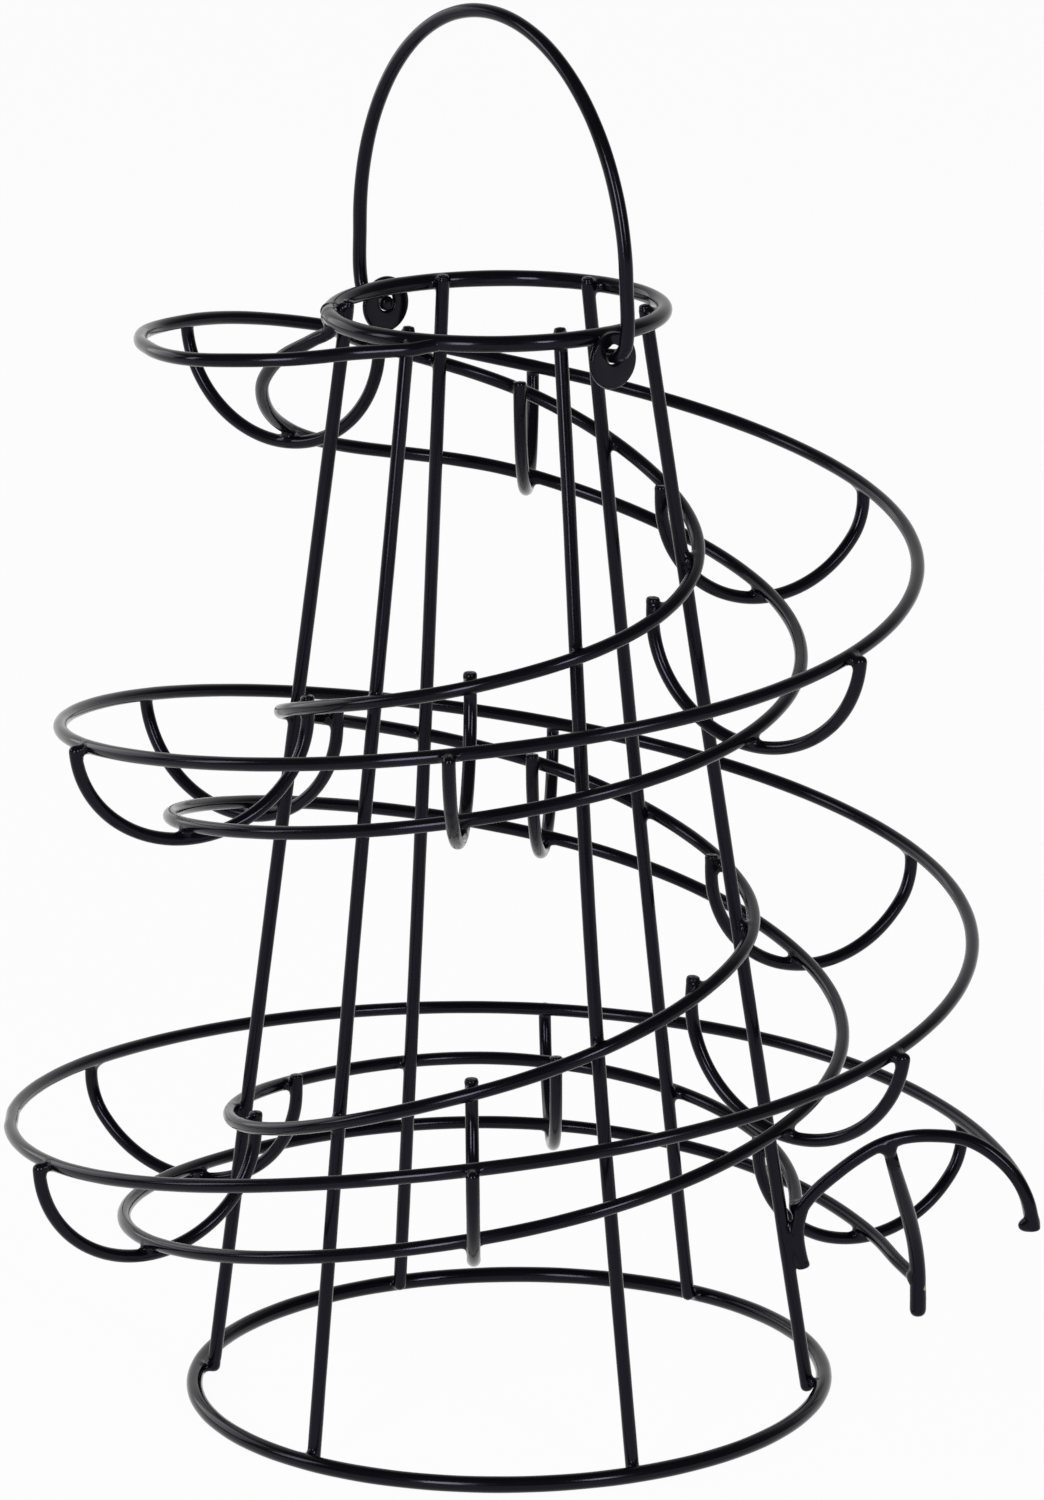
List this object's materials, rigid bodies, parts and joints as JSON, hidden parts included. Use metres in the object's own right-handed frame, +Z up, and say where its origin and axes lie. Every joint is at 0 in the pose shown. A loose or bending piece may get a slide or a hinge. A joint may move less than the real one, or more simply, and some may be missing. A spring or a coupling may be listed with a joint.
{
  "type": "spiral egg basket",
  "caption": "Helter-skelter egg holder of black coated wire: eggs roll down a spiral track of rails round a tower to a gate at the foot. A bail handle swings over the top.",
  "frame": {"origin": "middle of the footprint's box, on the plane that the base ring stands on", "axes": "+Z up along the tower, +X to the right and -Y to the front as pictured, with the end gate at the front right"},
  "size_m": [0.2596, 0.2562, 0.3534],
  "materials": {
    "tower_coat": "satin black powder coat",
    "track_coat": "satin black powder coat",
    "gate_coat": "satin black powder coat",
    "lug_coat": "satin black powder coat",
    "handle_coat": "satin black powder coat"
  },
  "bodies": {
    "tower": {"base_ring": "tower_coat", "top_ring": "tower_coat", "upright_1": "tower_coat", "upright_2": "tower_coat", "upright_3": "tower_coat", "upright_4": "tower_coat", "upright_5": "tower_coat", "upright_6": "tower_coat", "outer_rail": "track_coat", "inner_rail": "track_coat", "floor_rail": "track_coat", "rib_01": "track_coat", "rib_02": "track_coat", "rib_03": "track_coat", "rib_04": "track_coat", "rib_05": "track_coat", "rib_06": "track_coat", "rib_07": "track_coat", "rib_08": "track_coat", "rib_09": "track_coat", "rib_10": "track_coat", "rib_11": "track_coat", "rib_12": "track_coat", "rib_13": "track_coat", "rib_14": "track_coat", "rib_15": "track_coat", "end_arch": "gate_coat", "end_bar": "gate_coat", "lug_front": "lug_coat", "lug_back": "lug_coat"},
    "handle": {"handle": "handle_coat"}
  },
  "joints": [
    {"name": "handle_hinge", "type": "hinge", "parent": "tower", "child": "handle", "pos_m": [-0.00309, -0.00436, 0.27345], "axis": [-0.6115, 0.7912, 0], "range_deg": [-85, 135]}
  ]
}
